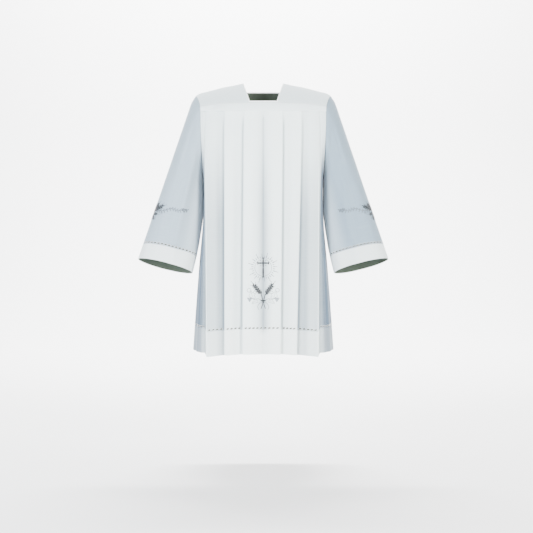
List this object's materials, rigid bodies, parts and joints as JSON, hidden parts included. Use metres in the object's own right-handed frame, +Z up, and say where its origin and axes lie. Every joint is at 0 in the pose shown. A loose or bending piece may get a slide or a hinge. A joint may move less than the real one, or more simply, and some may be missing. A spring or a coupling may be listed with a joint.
{
  "type": "cotta",
  "caption": "Pleated white cotta in its worn shape: square neck, yokes, knife-pleated front and back, wide open sleeves, hemstitched deep hems and silver-grey embroidery.",
  "frame": {"origin": "midway between the two neck points of the shoulder line, where the wearer's shoulders hold the garment up", "axes": "+Z up, the front faces -Y, +X towards the wearer's left side"},
  "size_m": [0.9332, 0.3107, 1.0126],
  "materials": {
    "yoke_cloth": "smooth matt white batiste, doubled",
    "panel_cloth": "smooth matt white batiste, pressed in knife pleats",
    "sleeve_cloth": "smooth matt white batiste",
    "thread": "silver-grey rayon embroidery thread with a soft sheen"
  },
  "bodies": {
    "root": {"yoke_front": "yoke_cloth", "yoke_back": "yoke_cloth", "front_panel": "panel_cloth", "back_panel": "panel_cloth", "sleeve_left_front": "sleeve_cloth", "sleeve_left_back": "sleeve_cloth", "sleeve_right_front": "sleeve_cloth", "sleeve_right_back": "sleeve_cloth"}
  },
  "joints": []
}
